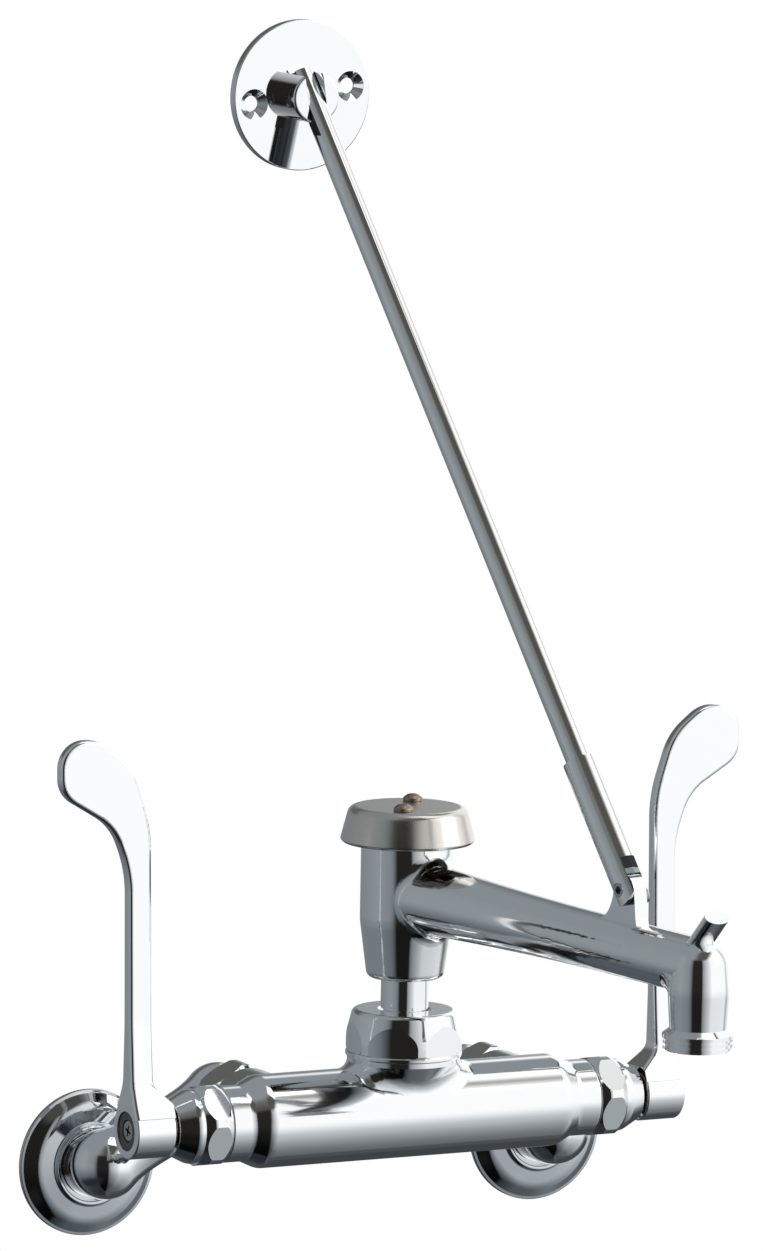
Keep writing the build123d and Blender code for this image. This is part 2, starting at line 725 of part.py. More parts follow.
def make_breaker_bonnet():
    bonnet = drum(bonnet_thread_radius, bonnet_thread_bottom, flange_foot)
    bonnet += drum(bonnet_flange_radius, flange_foot, flange_head)
    bonnet -= drum(bonnet_thread_radius - 3.2, bonnet_thread_bottom + 3, flange_head + 1)
    bonnet -= drum(air_port_radius, bonnet_thread_bottom - 1, flange_head)
    for spot in cap_screw_spots():
        bonnet += spot * drum(cap_post_radius, flange_foot, post_top)
        bonnet -= spot * drum(cap_screw_shank + seat_gap, post_top - 9, post_top + 1)
    return spout_place * bonnet


def make_breaker_cap():
    cap = turned(
        (cap_rim_radius - 1.3, cap_rim_height, 0.4), (cap_rim_radius, cap_rim_height + 1.2, 0.9),
        (cap_top_radius, cap_top_height, 3.6), (0, cap_top_height), (0, post_top),
        (cap_top_radius - cap_wall, post_top, 2.0), (cap_rim_radius - cap_wall - 0.6, cap_rim_height + 0.8),
    )
    for spot in cap_screw_spots():
        cap -= spot * drum(cap_screw_shank + 0.2, post_top - 1, cap_top_height + 1)
    return spout_place * cap


def make_cap_screws():
    screws = []
    head_top = cap_top_height + cap_screw_head_height
    for spot in cap_screw_spots():
        screw = turned(
            (0, cap_top_height), (cap_screw_head, cap_top_height, 0.3), (cap_screw_head, head_top - 1.5, 0.8),
            (0.5 * cap_screw_head, head_top, 2.4), (0, head_top),
        )
        screw += drum(cap_screw_shank, post_top - 7, cap_top_height + 0.5)
        screw -= Pos(0, 0, head_top) * Rot(0, 0, 25) * Box(9, 1.0, 2.2)
        screws.append(spot * screw)
    return spout_place * Compound(children=screws)


# Brace: a frame on the lower pin whose Z runs up the rod
pivot_reach = (wall_to_body - bracket_pivot_out) / cos(radians(spout_swing))
brace_run = pin_reach + pivot_reach
brace_rise = bracket_height - pin_height
brace_length = hypot(brace_run, brace_rise)
brace_frame = Plane(origin=(0, -pin_reach, pin_height), x_dir=(1, 0, 0), z_dir=(0, brace_run, brace_rise)).location
pivot_x = -pivot_reach * sin(radians(spout_swing))
plate_turn = degrees(atan2(brace_run * sin(radians(spout_swing)), brace_rise))


def across(radius, length):
    """Cylinder about X through the origin."""
    return Rot(0, 90, 0) * Cylinder(radius, length)


def make_brace_tube():
    tube = drum(sleeve_radius, 0, sleeve_length)
    tube += drum(sleeve_radius, -sleeve_radius, 0) & across(sleeve_radius, 4 * sleeve_radius)
    slot = lug_thickness + 2 * side_gap
    tube -= Pos(0, 0, fork_slot_depth - 15) * Box(slot, 4 * sleeve_radius, 30)
    tube -= drum(brace_rod_radius + running_gap, sleeve_bore_floor, sleeve_length + 1)
    tube -= across(pivot_pin_radius + seat_gap, 4 * sleeve_radius)
    return spout_place * brace_frame * tube


def make_clevis_pin():
    pin = across(pivot_pin_radius, 2 * sleeve_radius - 0.6)
    socket = extrude(RegularPolygon(1.5, 6, major_radius=False), 2.2)
    pin -= Pos(-sleeve_radius + 0.3, 0, 0) * Rot(0, 90, 0) * socket
    return spout_place * brace_frame * pin


def make_plate_frame():
    turn = radians(plate_turn)
    return Plane(origin=(pivot_x, 0, bracket_height), x_dir=(cos(turn), 0, sin(turn)), z_dir=(0, -1, 0)).location


def make_brace_rod():
    rod = spout_place * brace_frame * drum(brace_rod_radius, brace_rod_foot, brace_length + rod_end_past)
    plate_frame = make_plate_frame()
    tongue_middle = bracket_pivot_out + rod_tongue_length * brace_run / brace_length
    cheek = Box(2 * brace_rod_radius, 3 * rod_tongue_length, 4 * rod_tongue_length)
    reach_down = rod_tongue_length * brace_rise / brace_length
    for side in (-1, 1):
        away = side * (rod_tongue / 2 + brace_rod_radius)
        flat = Pos(away, 1.5 * rod_tongue_length - reach_down, 0) * cheek
        rod -= plate_frame * flat
    rod -= plate_frame * Pos(0, 0, plate_thickness + rod_end_clear - 10) * Box(40, 80, 20)
    rod -= plate_frame * Pos(0, 0, bracket_pivot_out) * across(pivot_pin_radius + running_gap, 40)
    return rod


def make_bracket_pin():
    pin = across(pivot_pin_radius, 2 * plate_boss_radius - 1.2)
    return make_plate_frame() * Pos(0, 0, bracket_pivot_out) * pin


def make_brace_flange():
    plate = turned(
        (0, 0), (plate_radius, 0), (plate_radius, plate_thickness, 0.5), (0, plate_thickness)
    )
    boss = turned(
        (0, 1), (plate_boss_radius, 1), (plate_boss_radius, plate_boss_front, 1.2), (0, plate_boss_front)
    )
    slot = rod_tongue + 2 * side_gap
    boss -= Pos(0, 0, plate_thickness + 20) * Box(slot, 60, 40)
    flange = plate + boss
    flange -= Pos(0, 0, bracket_pivot_out) * across(pivot_pin_radius + seat_gap, 40)
    sink_depth = plate_sink_radius - plate_hole_radius
    for side in (-1, 1):
        spot = Pos(side * plate_hole_spacing / 2, 0, 0)
        flange -= spot * drum(plate_hole_radius, -1, plate_thickness + 1)
        flange -= spot * turned(
            (0, plate_thickness - sink_depth), (plate_hole_radius, plate_thickness - sink_depth),
            (plate_sink_radius + 1, plate_thickness + 1), (0, plate_thickness + 1),
        )
    return make_plate_frame() * flange


def make_all():
    pieces = {"faucet_body": make_body()}
    pieces |= both_sides("wall_flange", make_wall_flange())
    pieces |= both_sides("inlet_arm", make_inlet_arm())
    pieces |= both_sides("union_nut", make_union_nut())
    pieces |= both_sides("union_washer", make_union_washer())
    pieces |= both_sides("cartridge_body", make_cartridge_body())
    pieces |= both_sides("cartridge_oring", make_cartridge_oring())
    pieces |= both_sides("seat_seal", make_seat_seal())
    pieces |= both_sides("fixed_disc", ported_disc(disc_start, disc_radius, 0))
    pieces |= both_sides("turning_disc", ported_disc(turning_start, disc_radius - face_gap, 90))
    pieces |= both_sides("cartridge_stem", make_cartridge_stem())
    pieces |= both_sides("bonnet_nut", make_bonnet_nut())
    pieces |= both_sides("handle", make_handle())
    pieces |= both_sides("index_ring", make_index_ring())
    pieces |= both_sides("handle_screw", make_handle_screw())
    pieces["nut_slip_ring"] = make_slip_ring()
    pieces["spout_nut"] = make_spout_nut()
    pieces["spout_stem"] = make_stem()
    pieces["stem_orings"] = make_stem_orings()
    pieces["retaining_ring"] = make_retaining_ring()
    pieces["spout_body"] = make_spout_body()
    pieces["breaker_seat"] = make_breaker_seat()
    pieces["poppet"] = make_poppet()
    pieces["poppet_washer"] = make_poppet_washer()
    pieces["bonnet_gasket"] = make_bonnet_gasket()
    pieces["breaker_bonnet"] = make_breaker_bonnet()
    pieces["breaker_cap"] = make_breaker_cap()
    pieces["cap_screws"] = make_cap_screws()
    pieces["brace_tube"] = make_brace_tube()
    pieces["clevis_pin"] = make_clevis_pin()
    pieces["brace_rod"] = make_brace_rod()
    pieces["bracket_pin"] = make_bracket_pin()
    pieces["brace_flange"] = make_brace_flange()
    return pieces


for name, piece in make_all().items():
    export_step(piece, f"parts/{name}.step")
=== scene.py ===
# %% [markdown]
# # A wall faucet in bright plate
#
# The solid parts of the faucet come from the imported model: a body with two union nuts, two long
# lever handles, a swinging spout with a vacuum breaker on top, and a brace that runs up to a small
# plate on the wall. Their shapes are final. What is left for this lesson is how they look:
# a photographer's room that polished metal can mirror, and a finish for every part.

# %% [markdown]
# ## The fixed model
#
# The parts are loaded, set free of their parents and counted.

# %% Load the model
import math

import bpy
from mathutils import Matrix, Vector

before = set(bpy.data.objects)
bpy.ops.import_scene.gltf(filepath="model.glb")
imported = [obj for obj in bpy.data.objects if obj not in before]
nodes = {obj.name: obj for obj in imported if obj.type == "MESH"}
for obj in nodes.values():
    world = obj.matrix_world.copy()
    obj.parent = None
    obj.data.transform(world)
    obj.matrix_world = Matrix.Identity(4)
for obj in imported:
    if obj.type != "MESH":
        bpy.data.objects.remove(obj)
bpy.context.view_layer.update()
print("parts:", len(nodes))

# %% [markdown]
# ## The camera
#
# The faucet is seen from the front, a little from its left and a little from above, through a long
# lens from more than four metres away, which keeps upright edges almost parallel. A camera can be
# placed by its angles, but a matrix is the surest way: one axis looks along the line of sight, one
# points to the right of the picture and one points up. The slight roll leans the picture as a
# camera on a tripod does when its head is not quite level.

# %% Place the camera
VIEW_TURN = math.radians(27.363)
VIEW_DROP = math.radians(7.836)
VIEW_ROLL = math.radians(1.029)
VIEW_DISTANCE = 4.2535
VIEW_CENTRE = Vector((-0.001116, -0.055402, 0.219540))
LENS = 307.6
SENSOR_WIDTH = 36.0
CLIP_END = 60.0


def sight_axes(turn, drop, roll):
    """Right, up and forward of a camera that looks turned to the right, down and rolled."""
    forward = Vector((
        math.sin(turn) * math.cos(drop),
        math.cos(turn) * math.cos(drop),
        -math.sin(drop),
    ))
    level = Vector((math.cos(turn), -math.sin(turn), 0.0))
    raised = level.cross(forward)
    right = math.cos(roll) * level + math.sin(roll) * raised
    up = math.cos(roll) * raised - math.sin(roll) * level
    return right, up, forward


right, up, forward = sight_axes(VIEW_TURN, VIEW_DROP, VIEW_ROLL)
camera_data = bpy.data.cameras.new("camera")
camera_data.lens = LENS
camera_data.sensor_width = SENSOR_WIDTH
camera_data.clip_end = CLIP_END
camera = bpy.data.objects.new("camera", camera_data)
place = Matrix((right, up, -forward)).transposed().to_4x4()
place.translation = VIEW_CENTRE - VIEW_DISTANCE * forward
camera.matrix_world = place
bpy.context.scene.collection.objects.link(camera)
bpy.context.scene.camera = camera
bpy.context.scene.view_settings.view_transform = "Standard"
print("camera at", [round(c, 3) for c in camera.matrix_world.translation])

# %% [markdown]
# ## The room that the metal mirrors
#
# Bright plate has hardly any colour of its own: what the eye reads as chrome is the room, bent
# round the shape. The room here is the one that a photographer builds round a shiny product, with
# a large white screen on the right, a grey screen on the left and at the back, and a dark gap
# between them where the camera stands. Real screens could be modelled, but they would block other
# views. The world shader can paint the same room by direction alone: one colour ramp runs round
# the horizon, others paint what is overhead, and one more dims the room towards the floor.
#
# Shader nodes can be wired by hand in the editor. Here two small functions do it: one adds a node
# and sets its values, and the other adds one step of arithmetic. The direction comes from the
# world's Generated coordinates, split into right, back and up.

# %% Helpers for shader nodes
def add_node(tree, kind, **values):
    """Add a node and set its properties, or its input sockets by name."""
    node = tree.nodes.new(kind)
    for name, value in values.items():
        if hasattr(node, name):
            setattr(node, name, value)
        else:
            node.inputs[name.replace("_", " ")].default_value = value
    return node


def add_math(tree, operation, *terms):
    """One step of arithmetic on sockets or plain numbers."""
    node = add_node(tree, "ShaderNodeMath", operation=operation)
    for socket, term in zip(node.inputs, terms):
        if isinstance(term, (int, float)):
            socket.default_value = term
        else:
            tree.links.new(term, socket)
    return node.outputs[0]


# %% Split the directions of the world
world = bpy.data.worlds.new("room")
bpy.context.scene.world = world
world.use_nodes = True
tree = world.node_tree
tree.nodes.clear()
direction = add_node(tree, "ShaderNodeTexCoord").outputs["Generated"]
parts = add_node(tree, "ShaderNodeSeparateXYZ")
tree.links.new(direction, parts.inputs[0])
rightwards, backwards, upwards = parts.outputs
leftwards, outwards, downwards = [add_math(tree, "MULTIPLY", part, -1.0) for part in parts.outputs]
print("directions:", [part.name for part in parts.outputs])

# %% [markdown]
# ## Round the horizon
#
# The angle round the horizon is the arc tangent of right and out, and a colour ramp gives each
# angle its colour. A picture of a room could be wrapped round instead, but a ramp is sharp at any
# size, and each of its stops can be moved by itself until the plate mirrors what it should. The
# white screen has a seam straight to the right, where two sheets meet.

# %% Helpers for colour ramps
def add_ramp(tree, factor, stops):
    """A colour ramp with stops of (position, colour), from position 0 to 1."""
    node = tree.nodes.new("ShaderNodeValToRGB")
    ramp = node.color_ramp
    while len(ramp.elements) < len(stops):
        ramp.elements.new(0.5)
    for element, (position, _) in zip(ramp.elements, stops):
        element.position = position
    for element, (_, colour) in zip(ramp.elements, stops):
        element.color = (*colour, 1.0)
    tree.links.new(factor, node.inputs[0])
    return node.outputs[0]


def add_signed_ramp(tree, value, reach, stops):
    """A colour ramp for a value from minus reach to reach, with stops of (value, colour)."""
    place = add_math(tree, "MULTIPLY_ADD", value, 0.5 / reach, 0.5)
    return add_ramp(tree, place, [(0.5 + 0.5 * at / reach, colour) for at, colour in stops])


def in_radians(stops):
    """The same stops, with their values turned from degrees into radians."""
    return [(math.radians(degrees), colour) for degrees, colour in stops]


# %% Paint the room round the horizon
GREY_SCREEN = (0.240, 0.268, 0.287)
DARK_GAP = (0.017, 0.0155, 0.0135)
WHITE_SCREEN = (1.0, 1.0, 1.0)

# Degrees round the horizon: 0 is straight out from the wall, 90 is to the right.
horizon = [
    (-180.0, (0.215, 0.242, 0.262)),
    (-150.0, (0.235, 0.262, 0.280)),
    (-104.0, (0.285, 0.312, 0.330)),
    (-70.0, (0.225, 0.252, 0.270)),
    (-62.0, (0.17, 0.19, 0.205)),
    (-52.0, DARK_GAP),
    (-17.5, DARK_GAP),
    (-12.5, (0.30, 0.31, 0.32)),
    (-2.0, (0.50, 0.51, 0.52)),
    (12.0, (0.74, 0.75, 0.75)),
    (22.0, WHITE_SCREEN),
    (88.0, WHITE_SCREEN),
    (95.0, (0.62, 0.63, 0.64)),
    (104.0, (0.66, 0.67, 0.68)),
    (110.0, WHITE_SCREEN),
    (148.0, WHITE_SCREEN),
    (153.0, GREY_SCREEN),
    (180.0, (0.215, 0.242, 0.262)),
]

around = add_math(tree, "ARCTAN2", rightwards, outwards)
ring_colour = add_signed_ramp(tree, around, math.pi, in_radians(horizon))
print("stops round the horizon:", len(horizon))

# %% [markdown]
# ## Overhead
#
# The white screen is a flat sheet that leans over the faucet, so overhead its edge is a straight
# line, with the grey ceiling beyond it and a thin dark slit between them. The dot product of a
# direction with the line's normal says on which side of it a direction lies. In front, over the
# camera, the ceiling is unlit, and behind the faucet the room is dark above the horizon. A fade
# holds each of these to its own part of the room: it is nought on one side, one on the other, and
# rises smoothly in between. A product of fades holds a colour to where all of them are one.

# %% Helpers to fade and mix
def add_fade(tree, value, start, end):
    """Nought up to start, one from end on, and a smooth rise between them."""
    node = add_node(tree, "ShaderNodeMapRange", From_Min=start, From_Max=end)
    node.interpolation_type = "SMOOTHSTEP"
    tree.links.new(value, node.inputs["Value"])
    return node.outputs[0]


def add_mix(tree, factor, first, second, blend="MIX"):
    """Mix two colours; each is a socket or three numbers, and the factor a socket or a number."""
    node = add_node(tree, "ShaderNodeMix", data_type="RGBA", blend_type=blend)
    for index, value in ((0, factor), (6, first), (7, second)):
        if isinstance(value, (int, float)):
            node.inputs[index].default_value = value
        elif isinstance(value, tuple):
            node.inputs[index].default_value = (*value, 1.0)
        else:
            tree.links.new(value, node.inputs[index])
    return node.outputs[2]


def paint_where(tree, room, colour, *limits):
    """Paint a colour over the room where every fade, each of (value, start, end), is one."""
    share = add_fade(tree, *limits[0])
    for limit in limits[1:]:
        share = add_math(tree, "MULTIPLY", share, add_fade(tree, *limit))
    return add_mix(tree, share, room, colour)


# %% Paint the ceiling
SCREEN_EDGE = Vector((-0.782, 0.452, 0.428))
SLIT = (0.05, 0.05, 0.052)
BACK_SHADE = (0.100, 0.102, 0.094)
UNLIT_CEILING = (0.084, 0.081, 0.072)

# Where each fade starts and ends, as a share of the way straight out, up or back.
IN_FRONT = (0.20, 0.42)
OVERHEAD = (0.50, 0.66)
ABOVE_HORIZON = (0.12, 0.34)
FAR_BACK = (0.74, 0.90)

# How far a direction lies beyond the screen's edge, and what is there.
ceiling_behind = [
    (-0.050, WHITE_SCREEN),
    (-0.022, SLIT),
    (0.010, SLIT),
    (0.045, GREY_SCREEN),
]
ceiling_in_front = [
    (-0.32, WHITE_SCREEN),
    (-0.24, (0.58, 0.57, 0.55)),
    (-0.16, (0.21, 0.20, 0.18)),
    (-0.10, UNLIT_CEILING),
    (0.30, UNLIT_CEILING),
    (0.42, (0.135, 0.134, 0.126)),
    (0.54, (0.205, 0.22, 0.228)),
    (0.64, GREY_SCREEN),
]

beyond_edge = add_node(tree, "ShaderNodeVectorMath", operation="DOT_PRODUCT")
tree.links.new(direction, beyond_edge.inputs[0])
beyond_edge.inputs[1].default_value = SCREEN_EDGE
behind, in_front = [
    add_signed_ramp(tree, beyond_edge.outputs["Value"], 1.0, stops)
    for stops in (ceiling_behind, ceiling_in_front)
]
ceiling = paint_where(tree, behind, in_front, (outwards, *IN_FRONT))
room_colour = paint_where(tree, ring_colour, ceiling, (upwards, *OVERHEAD))
high_at_back = ((backwards, *FAR_BACK), (upwards, *ABOVE_HORIZON))
room_colour = paint_where(tree, room_colour, BACK_SHADE, *high_at_back)
print("stops overhead:", len(ceiling_behind), "and", len(ceiling_in_front))

# %% [markdown]
# ## Underfoot
#
# The floor gets darker the more steeply one looks down, so a ramp on the angle above or below the
# horizon is multiplied over the room. It is darkest in two places: low at the back on the right, in
# the wall's shade, and below the grey screen on the left.

# %% Dim the room towards the floor
FLOOR_SHADE = (0.050, 0.054, 0.060)
LEFT_SHADE = (0.020, 0.022, 0.025)

# Degrees above or below the horizon, and how bright the room is there.
heights = [
    (-90.0, (0.060, 0.066, 0.072)),
    (-64.0, (0.120, 0.132, 0.142)),
    (-56.0, (0.185, 0.203, 0.216)),
    (-42.0, (0.320, 0.348, 0.365)),
    (-25.0, (0.535, 0.560, 0.580)),
    (-9.0, (0.92, 0.93, 0.94)),
    (-3.0, WHITE_SCREEN),
    (90.0, WHITE_SCREEN),
]

height = add_math(tree, "ARCSINE", upwards)
dimming = add_signed_ramp(tree, height, math.pi / 2, in_radians(heights))
room_colour = add_mix(tree, 1.0, room_colour, dimming, "MULTIPLY")
low_right_back = ((downwards, 0.17, 0.32), (backwards, -0.10, 0.30), (rightwards, 0.0, 0.35))
low_left = ((downwards, 0.46, 0.72), (leftwards, 0.30, 0.60))
room_colour = paint_where(tree, room_colour, FLOOR_SHADE, *low_right_back)
room_colour = paint_where(tree, room_colour, LEFT_SHADE, *low_left)
print("stops up and down:", len(heights))

# %% [markdown]
# ## White behind, plain light around
#
# The Light Path node tells what kind of ray asks for the world's colour. A ray from the camera gets
# pure white. A ray that bounced off metal, or went through something clear, gets the painted room.
# Its bright side is a little brighter than that white, since plate keeps back some of the light
# that falls on it. All other rays get one even, plain grey, so that rubber and plastic are lit as
# on an overcast day and show the colour that they are given.

# %% Split the world by kind of ray
PLAIN_LEVEL = 0.72
MIRROR_LEVEL = 1.12
BACKDROP_LEVEL = 1.0
WHITE = (1.0, 1.0, 1.0, 1.0)


def choose_shader(tree, factor, first, second):
    """The first shader where the factor is nought, and the second where it is one."""
    node = add_node(tree, "ShaderNodeMixShader")
    for socket, source in zip(node.inputs, (factor, first, second)):
        tree.links.new(source, socket)
    return node.outputs[0]


path = add_node(tree, "ShaderNodeLightPath").outputs
plain = add_node(tree, "ShaderNodeBackground", Color=WHITE, Strength=PLAIN_LEVEL)
mirrored = add_node(tree, "ShaderNodeBackground", Strength=MIRROR_LEVEL)
tree.links.new(room_colour, mirrored.inputs["Color"])
backdrop = add_node(tree, "ShaderNodeBackground", Color=WHITE, Strength=BACKDROP_LEVEL)
in_metal = add_math(tree, "MAXIMUM", path["Is Glossy Ray"], path["Is Transmission Ray"])
bounced = choose_shader(tree, in_metal, plain.outputs[0], mirrored.outputs[0])
seen = choose_shader(tree, path["Is Camera Ray"], bounced, backdrop.outputs[0])
world_output = add_node(tree, "ShaderNodeOutputWorld")
tree.links.new(seen, world_output.inputs[0])
print("levels:", PLAIN_LEVEL, MIRROR_LEVEL, BACKDROP_LEVEL)

# %% [markdown]
# ## Lamps
#
# Two large soft boxes stand where the white screen is: one to the right and in front, one
# overhead. Small lamps would give hard highlights that the plate does not show. An area lamp of
# more than a metre throws the wide, soft shadow of a studio. Each is given by its distance, its
# direction and how bright its face is, and the power follows from that and from its area.

# %% Hang the soft boxes
def soft_box(name, turn, rise, distance, side, brightness):
    """An area lamp that faces the middle of the object."""
    lamp = bpy.data.lights.new(name, "AREA")
    lamp.shape = "SQUARE"
    lamp.size = side
    lamp.energy = brightness * math.pi * side * side
    box = bpy.data.objects.new(name, lamp)
    away = Vector((
        math.sin(math.radians(turn)) * math.cos(math.radians(rise)),
        -math.cos(math.radians(turn)) * math.cos(math.radians(rise)),
        math.sin(math.radians(rise)),
    ))
    facing = away.to_track_quat("Z", "Y").to_matrix().to_4x4()
    box.matrix_world = Matrix.Translation(VIEW_CENTRE + distance * away) @ facing
    bpy.context.scene.collection.objects.link(box)
    return box


soft_boxes = [
    soft_box("soft_box_right", turn=58.0, rise=24.0, distance=2.2, side=1.3, brightness=1.15),
    soft_box("soft_box_top", turn=60.0, rise=72.0, distance=2.0, side=1.1, brightness=1.1),
]
print("lamps:", [box.name for box in soft_boxes])

# %% [markdown]
# ## The floor
#
# The faucet hangs on a wall, well above the floor, and the floor is only there to take a soft
# shadow. It is a flat round sheet of pale matt paper: a filled circle, with a margin inset from its
# edge. A faint glow of its own keeps it pale, and for the camera it goes over to plain white away
# from the middle, so that no edge shows. Metal does not see the sheet: the painted room already
# holds the floor's brightness.

# %% Lay the floor
FLOOR_Z = -0.30
FLOOR_RADIUS = 3.2
FLOOR_EDGES = 96
FLOOR_MARGIN = 0.12

bpy.ops.object.select_all(action="DESELECT")
bpy.ops.mesh.primitive_circle_add(
    vertices=FLOOR_EDGES,
    radius=FLOOR_RADIUS,
    fill_type="NGON",
    location=(0.0, 0.0, FLOOR_Z),
)
floor = bpy.context.object
floor.name = "floor"
bpy.ops.object.mode_set(mode="EDIT")
bpy.ops.mesh.select_all(action="SELECT")
bpy.ops.mesh.inset(thickness=FLOOR_MARGIN, depth=0.0)
bpy.ops.object.mode_set(mode="OBJECT")
bpy.ops.object.transform_apply(location=True, rotation=True, scale=True)
floor.visible_glossy = False
print("floor at z", FLOOR_Z, "with", len(floor.data.polygons), "faces")

# %% Paper for the floor
PAPER = (0.84, 0.84, 0.84, 1.0)
PAPER_ROUGHNESS = 0.9
PAPER_GLOW = 0.20
WHITE_FROM = 0.55
WHITE_TO = 1.30

pale_floor = bpy.data.materials.new("pale_floor")
pale_floor.use_nodes = True
tree = pale_floor.node_tree
tree.nodes.clear()
where = add_node(tree, "ShaderNodeTexCoord")
distance = add_node(tree, "ShaderNodeVectorMath", operation="LENGTH")
tree.links.new(where.outputs["Object"], distance.inputs[0])
spread = add_fade(tree, distance.outputs["Value"], WHITE_FROM, WHITE_TO)
path = add_node(tree, "ShaderNodeLightPath").outputs
whiten = add_math(tree, "MULTIPLY", spread, path["Is Camera Ray"])
matt = add_node(tree, "ShaderNodeBsdfPrincipled", Base_Color=PAPER, Roughness=PAPER_ROUGHNESS)
matt.inputs["Emission Color"].default_value = WHITE
matt.inputs["Emission Strength"].default_value = PAPER_GLOW
white = add_node(tree, "ShaderNodeEmission", Color=WHITE, Strength=BACKDROP_LEVEL)
output = add_node(tree, "ShaderNodeOutputMaterial")
whitened = choose_shader(tree, whiten, matt.outputs[0], white.outputs[0])
tree.links.new(whitened, output.inputs["Surface"])
floor.data.materials.append(pale_floor)
print("paper white from", WHITE_FROM, "to", WHITE_TO)

# %% [markdown]
# ## A start for every finish
#
# Each finish below begins in the same way: a Principled shader, a noise that makes it a little
# rougher here and smoother there, and a noise that moves the surface by microns. Real plate is
# never perfectly flat, and a mirror that is perfectly flat looks drawn. The pattern is read from
# Object coordinates, so it stays on the part when the part moves.

# %% The shared start
# A noise seldom leaves this range, which is what gets stretched over a spread of values.
NOISE_RANGE = (0.3, 0.7)
METAL = 1.0
NO_METAL = 0.0


def object_noise(tree, size, detail=4.0, roughness=0.6, stretch=None):
    """A noise read from Object coordinates, with blotches of about size metres."""
    place = add_node(tree, "ShaderNodeTexCoord").outputs["Object"]
    if stretch:
        mapping = add_node(tree, "ShaderNodeMapping", Scale=stretch)
        tree.links.new(place, mapping.inputs["Vector"])
        place = mapping.outputs[0]
    noise = add_node(tree, "ShaderNodeTexNoise", Detail=detail, Roughness=roughness)
    noise.inputs["Scale"].default_value = 1.0 / size
    tree.links.new(place, noise.inputs["Vector"])
    return noise.outputs["Fac"]


def new_finish(name, colour, roughness, size, metallic=METAL):
    """A finish whose roughness drifts between two values, in blotches of about size metres."""
    material = bpy.data.materials.new(name)
    material.use_nodes = True
    tree = material.node_tree
    inputs = tree.nodes["Principled BSDF"].inputs
    inputs["Base Color"].default_value = (*colour, 1.0)
    inputs["Metallic"].default_value = metallic
    low, high = NOISE_RANGE
    smooth, rough = roughness
    limits = {"From_Min": low, "From_Max": high, "To_Min": smooth, "To_Max": rough}
    uneven = add_node(tree, "ShaderNodeMapRange", **limits)
    tree.links.new(object_noise(tree, size), uneven.inputs["Value"])
    tree.links.new(uneven.outputs[0], inputs["Roughness"])
    return material


# %% Relief, and parts to put a finish on
def add_relief(material, size, depth, stretch=(1.0, 1.0, 1.0), detail=2.0):
    """Raise and sink the surface by a noise, with blotches of about size metres."""
    tree = material.node_tree
    normal = tree.nodes["Principled BSDF"].inputs["Normal"]
    relief = add_node(tree, "ShaderNodeBump", Strength=1.0, Distance=depth)
    waves = object_noise(tree, size, detail, roughness=0.5, stretch=stretch)
    tree.links.new(waves, relief.inputs["Height"])
    if normal.is_linked:
        tree.links.new(normal.links[0].from_socket, relief.inputs["Normal"])
    tree.links.new(relief.outputs[0], normal)


def finish_parts(names, material):
    """Put a finish on parts of the model."""
    for name in names:
        part = nodes[name]
        if not part.material_slots:
            part.data.materials.append(material)
        for slot in part.material_slots:
            slot.material = material
    print(material.name, "on", len(names), "parts")


# %% [markdown]
# ## Bright plate on castings
#
# The body and the spout are cast in brass, ground, polished by hand on a soft wheel and plated. The
# wheel leaves long, very shallow waves that make reflections swim a little. A noise of about three
# centimetres with a relief of a few hundredths of a millimetre gives them. A second, fine noise
# softens the mirror by a trace.

# %% Cast and polished plate
PLATE = (0.86, 0.87, 0.875)

cast_plate = new_finish("cast_plate", PLATE, (0.055, 0.095), 0.045)
add_relief(cast_plate, 0.030, 0.00004)
add_relief(cast_plate, 0.0006, 0.0000004)
finish_parts(["faucet_body", "spout_body"], cast_plate)

# %% [markdown]
# ## Bright plate on turned and drawn parts
#
# Nuts, tubes and rods are turned or drawn, and polished in a barrel or on a belt. Their
# surface is truer than a casting's, so the slow waves are shallower, and the mirror is sharper.

# %% Turned plate
turned_plate = new_finish("turned_plate", PLATE, (0.022, 0.05), 0.03)
add_relief(turned_plate, 0.022, 0.000012)
add_relief(turned_plate, 0.0005, 0.0000003)
turned_parts = [
    "bonnet_nut_left",
    "bonnet_nut_right",
    "union_nut_left",
    "union_nut_right",
    "spout_nut",
    "nut_slip_ring",
    "spout_stem",
    "inlet_arm_left",
    "inlet_arm_right",
    "brace_tube",
    "brace_rod",
    "brace_flange",
]
finish_parts(turned_parts, turned_plate)

# %% [markdown]
# ## Darker plate on the wall flanges, with painted shade
#
# The two wall flanges are pressed from sheet and polished in a barrel only, so their mirror is a
# little duller than the rest. Their plate is also a darker copy of the plate: the darker base
# colour is painted shade, which dims everything that they mirror.

# %% Flange plate, darkened with painted shade
# The darker base colour is painted shade on the flanges.
flange_plate_painted_shade = new_finish("flange_plate_painted_shade", (0.60, 0.63, 0.655), (0.05, 0.09), 0.03)
add_relief(flange_plate_painted_shade, 0.022, 0.000015)
add_relief(flange_plate_painted_shade, 0.0005, 0.0000004)
finish_parts(["wall_flange_left", "wall_flange_right"], flange_plate_painted_shade)

# %% [markdown]
# ## Bright plate on the levers
#
# The levers are forged flat and belt polished along their length before plating. Very faint lines
# run up the lever, which a noise stretched along z gives.

# %% Lever plate
lever_plate = new_finish("lever_plate", (0.88, 0.885, 0.89), (0.035, 0.075), 0.05)
add_relief(lever_plate, 0.035, 0.00002)
add_relief(lever_plate, 0.0009, 0.0000006, stretch=(1.0, 1.0, 0.06))
finish_parts(["handle_left", "handle_right"], lever_plate)

# %% [markdown]
# ## Satin nickel on the breaker cap
#
# The cap is spun from sheet and left satin, with a slightly warm grey. Fine lines run round it from
# the spinning lathe. On the side they are rings stacked in z, so the noise is squeezed along z.

